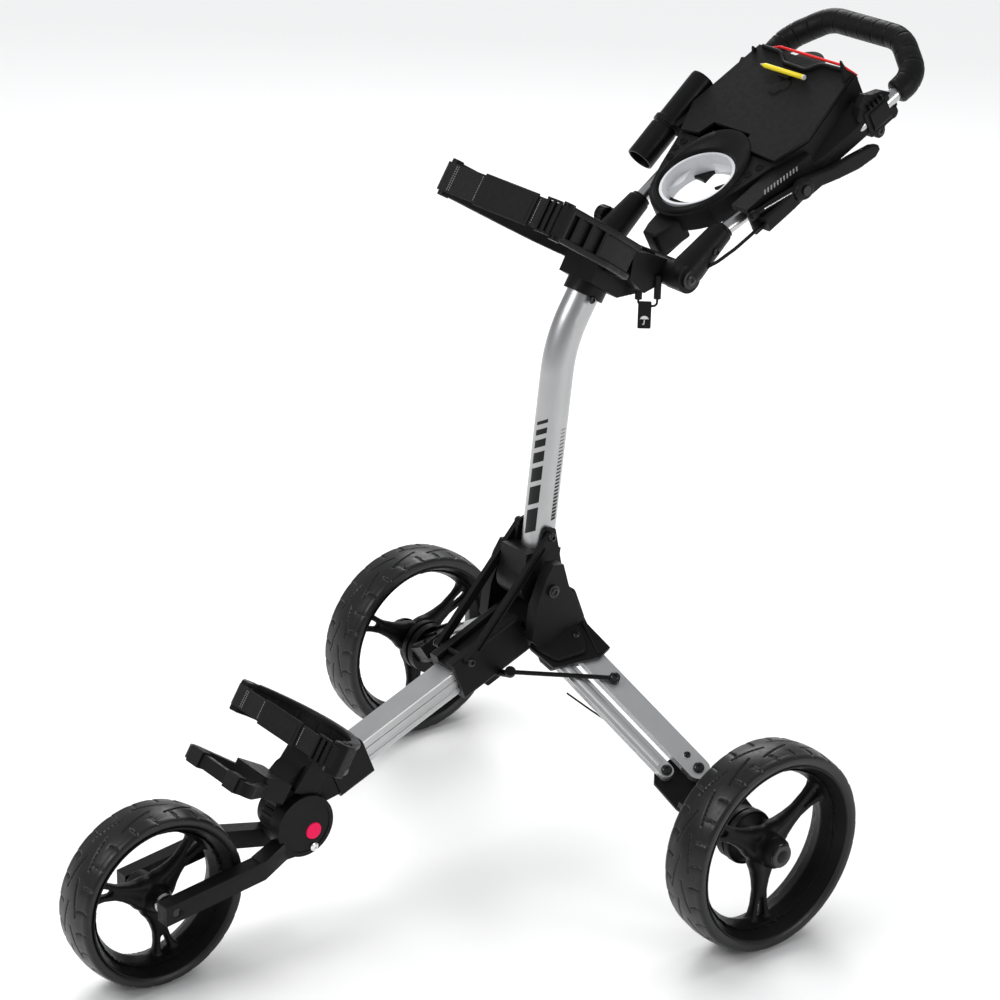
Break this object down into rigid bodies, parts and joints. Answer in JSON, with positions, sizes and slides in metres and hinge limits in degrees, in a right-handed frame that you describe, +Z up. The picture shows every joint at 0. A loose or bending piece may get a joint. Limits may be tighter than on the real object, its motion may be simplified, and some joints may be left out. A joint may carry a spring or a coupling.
{
  "type": "golf push trolley",
  "caption": "Folding golf push trolley: wide rear wheels on fold-in legs, a front wheel on a folding fork, bag cradles, a mast and a handle with a console.",
  "frame": {"origin": "on the floor, under the middle of the trolley's bounding box", "axes": "+Z up, +Y to the rear where the user walks, -Y in the direction of travel, +X towards the brake lever's side"},
  "size_m": [0.872, 1.3373, 1.13],
  "materials": {
    "alu": "satin anodised",
    "plastic": "fine moulded texture, satin",
    "plastic_hub": "satin",
    "console": "semi-gloss",
    "rim": "satin",
    "tyre": "matt",
    "rubber": "matt",
    "pad": "matt",
    "steel": "bright zinc",
    "steel_dark": "black zinc",
    "strap": "woven webbing",
    "button": "gloss",
    "liner": "satin",
    "cord": "braided",
    "pencil": "lacquered",
    "cable": "smooth sleeve"
  },
  "bodies": {
    "frame": {"front_tube": "alu", "hub_core": "plastic_hub", "hub_shell_left": "plastic_hub", "hub_shell_right": "plastic_hub", "front_bracket": "plastic", "lower_cradle": "plastic", "lower_strap": "strap", "base_loop": "plastic", "base_pads": "pad", "frame_fasteners": "steel"},
    "fork": {"fork_arm_left": "plastic", "fork_arm_right": "plastic", "front_axle": "steel", "button_spring": "steel"},
    "fold_button": {"fold_button": "button"},
    "front_wheel": {"front_rim": "rim", "front_tyre": "tyre", "front_bearings": "steel"},
    "mast": {"mast_tube": "alu", "mast_socket": "plastic", "mast_head": "plastic", "upper_cradle": "plastic", "upper_strap": "strap", "umbrella_tag": "plastic"},
    "slider": {"slider": "plastic"},
    "mast_rod_left": {"mast_rod_left": "alu"},
    "link_rod_left": {"link_rod_left": "steel_dark"},
    "leg_left": {"leg_bar_broad_left": "alu", "brake_cable_left": "cable"},
    "slim_bar_left": {"leg_bar_slim_left": "alu"},
    "wheel_bracket_left": {"wheel_bracket_left": "plastic", "rear_axle_left": "steel"},
    "rear_wheel_left": {"rear_rim_left": "rim", "rear_tyre_left": "tyre", "rear_bearings_left": "steel"},
    "brake_pin_left": {"brake_pin_left": "steel"},
    "mast_rod_right": {"mast_rod_right": "alu"},
    "link_rod_right": {"link_rod_right": "steel_dark"},
    "leg_right": {"leg_bar_broad_right": "alu", "brake_cable_right": "cable"},
    "slim_bar_right": {"leg_bar_slim_right": "alu"},
    "wheel_bracket_right": {"wheel_bracket_right": "plastic", "rear_axle_right": "steel"},
    "rear_wheel_right": {"rear_rim_right": "rim", "rear_tyre_right": "tyre", "rear_bearings_right": "steel"},
    "brake_pin_right": {"brake_pin_right": "steel"},
    "handle": {"handle_tube": "alu", "handle_sleeves": "plastic", "handle_grip": "rubber", "handle_pins": "steel", "console_body": "console", "cup_ring": "liner", "umbrella_tube": "plastic", "brake_cable_top": "cable", "elastic_cord": "cord"},
    "console_lid": {"console_lid": "console", "pencil": "pencil"},
    "brake_lever": {"brake_lever": "plastic"},
    "clamp_knob": {"clamp_knob": "plastic"}
  },
  "joints": [
    {"name": "mast_fold", "type": "hinge", "parent": "frame", "child": "mast", "pos_m": [0, 0.0643, 0.42], "axis": [1, 0, 0], "range_deg": [0, 90]},
    {"name": "slider_travel", "type": "slide", "parent": "frame", "child": "slider", "axis": [0, -0.9272, -0.3746], "range_m": [0, 0.1045]},
    {"name": "mast_rod_pivot_left", "type": "hinge", "parent": "slider", "child": "mast_rod_left", "pos_m": [0.033, -0.0577, 0.337], "axis": [1, 0, 0], "range_deg": [-6, 0]},
    {"name": "link_rod_pivot_left", "type": "hinge", "parent": "slider", "child": "link_rod_left", "pos_m": [0.05163, -0.00001, 0.31183], "axis": [0.5373, -0.3159, 0.782], "range_deg": [0, 23.5]},
    {"name": "leg_fold_left", "type": "hinge", "parent": "frame", "child": "leg_left", "pos_m": [0.06, 0.1053, 0.332], "axis": [-0.5373, 0.3159, -0.782], "range_deg": [0, 68]},
    {"name": "slim_bar_pivot_left", "type": "hinge", "parent": "frame", "child": "slim_bar_left", "pos_m": [0.03858, 0.06644, 0.33102], "axis": [-0.5373, 0.3159, -0.782], "range_deg": [0, 68]},
    {"name": "wheel_bracket_pivot_left", "type": "hinge", "parent": "leg_left", "child": "wheel_bracket_left", "pos_m": [0.27085, 0.15562, 0.20746], "axis": [0.5373, -0.3159, 0.782], "range_deg": [0, 68]},
    {"name": "rear_wheel_spin_left", "type": "hinge", "parent": "wheel_bracket_left", "child": "rear_wheel_left", "pos_m": [0.395, 0.1643, 0.146], "axis": [1, 0, 0], "continuous": true},
    {"name": "brake_pin_travel_left", "type": "slide", "parent": "wheel_bracket_left", "child": "brake_pin_left", "axis": [1, 0, 0], "range_m": [0, 0.009]},
    {"name": "mast_rod_pivot_right", "type": "hinge", "parent": "slider", "child": "mast_rod_right", "pos_m": [-0.033, -0.0577, 0.337], "axis": [1, 0, 0], "range_deg": [-6, 0]},
    {"name": "link_rod_pivot_right", "type": "hinge", "parent": "slider", "child": "link_rod_right", "pos_m": [-0.05163, -0.00001, 0.31183], "axis": [0.5373, 0.3159, -0.782], "range_deg": [0, 23.5]},
    {"name": "leg_fold_right", "type": "hinge", "parent": "frame", "child": "leg_right", "pos_m": [-0.06, 0.1053, 0.332], "axis": [-0.5373, -0.3159, 0.782], "range_deg": [0, 68]},
    {"name": "slim_bar_pivot_right", "type": "hinge", "parent": "frame", "child": "slim_bar_right", "pos_m": [-0.03858, 0.06644, 0.33102], "axis": [-0.5373, -0.3159, 0.782], "range_deg": [0, 68]},
    {"name": "wheel_bracket_pivot_right", "type": "hinge", "parent": "leg_right", "child": "wheel_bracket_right", "pos_m": [-0.27085, 0.15562, 0.20746], "axis": [0.5373, 0.3159, -0.782], "range_deg": [0, 68]},
    {"name": "rear_wheel_spin_right", "type": "hinge", "parent": "wheel_bracket_right", "child": "rear_wheel_right", "pos_m": [-0.395, 0.1643, 0.146], "axis": [1, 0, 0], "continuous": true},
    {"name": "brake_pin_travel_right", "type": "slide", "parent": "wheel_bracket_right", "child": "brake_pin_right", "axis": [-1, 0, 0], "range_m": [0, 0.009]},
    {"name": "fork_fold", "type": "hinge", "parent": "frame", "child": "fork", "pos_m": [0, -0.3274, 0.1693], "axis": [1, 0, 0], "range_deg": [0, 135]},
    {"name": "fold_button_press", "type": "slide", "parent": "fork", "child": "fold_button", "axis": [-1, 0, 0], "range_m": [0, 0.004], "stiffness_N_per_m": 400, "springref_m": -0.001},
    {"name": "front_wheel_spin", "type": "hinge", "parent": "fork", "child": "front_wheel", "pos_m": [0, -0.5447, 0.124], "axis": [1, 0, 0], "continuous": true},
    {"name": "handle_fold", "type": "hinge", "parent": "mast", "child": "handle", "pos_m": [0, 0.2493, 0.844], "axis": [-1, 0, 0], "range_deg": [-20, 100]},
    {"name": "console_lid_hinge", "type": "hinge", "parent": "handle", "child": "console_lid", "pos_m": [0, 0.3977, 0.9804], "axis": [1, 0, 0], "range_deg": [0, 95]},
    {"name": "brake_lever_pivot", "type": "hinge", "parent": "handle", "child": "brake_lever", "pos_m": [0.1365, 0.41423, 0.95068], "axis": [1, 0, 0], "range_deg": [0, 18], "stiffness_Nm_per_rad": 1.2, "springref_deg": -8.59},
    {"name": "clamp_knob_turn", "type": "hinge", "parent": "handle", "child": "clamp_knob", "pos_m": [-0.112, 0.2771, 0.8743], "axis": [1, 0, 0], "range_deg": [-90, 90]}
  ],
  "couplings": [
    {"joint": "slider_travel", "follows": "mast_fold", "m_per_rad": 0.066514},
    {"joint": "mast_rod_pivot_left", "follows": "mast_fold", "ratio": -0.06589},
    {"joint": "link_rod_pivot_left", "follows": "mast_fold", "ratio": 0.2602},
    {"joint": "leg_fold_left", "follows": "mast_fold", "ratio": 0.75433},
    {"joint": "slim_bar_pivot_left", "follows": "mast_fold", "ratio": 0.75433},
    {"joint": "wheel_bracket_pivot_left", "follows": "mast_fold", "ratio": 0.75433},
    {"joint": "mast_rod_pivot_right", "follows": "mast_fold", "ratio": -0.06589},
    {"joint": "link_rod_pivot_right", "follows": "mast_fold", "ratio": 0.2602},
    {"joint": "leg_fold_right", "follows": "mast_fold", "ratio": 0.75433},
    {"joint": "slim_bar_pivot_right", "follows": "mast_fold", "ratio": 0.75433},
    {"joint": "wheel_bracket_pivot_right", "follows": "mast_fold", "ratio": 0.75433},
    {"joint": "brake_pin_travel_left", "follows": "brake_lever_pivot", "m_per_rad": 0.0286},
    {"joint": "brake_pin_travel_right", "follows": "brake_lever_pivot", "m_per_rad": 0.0286}
  ]
}
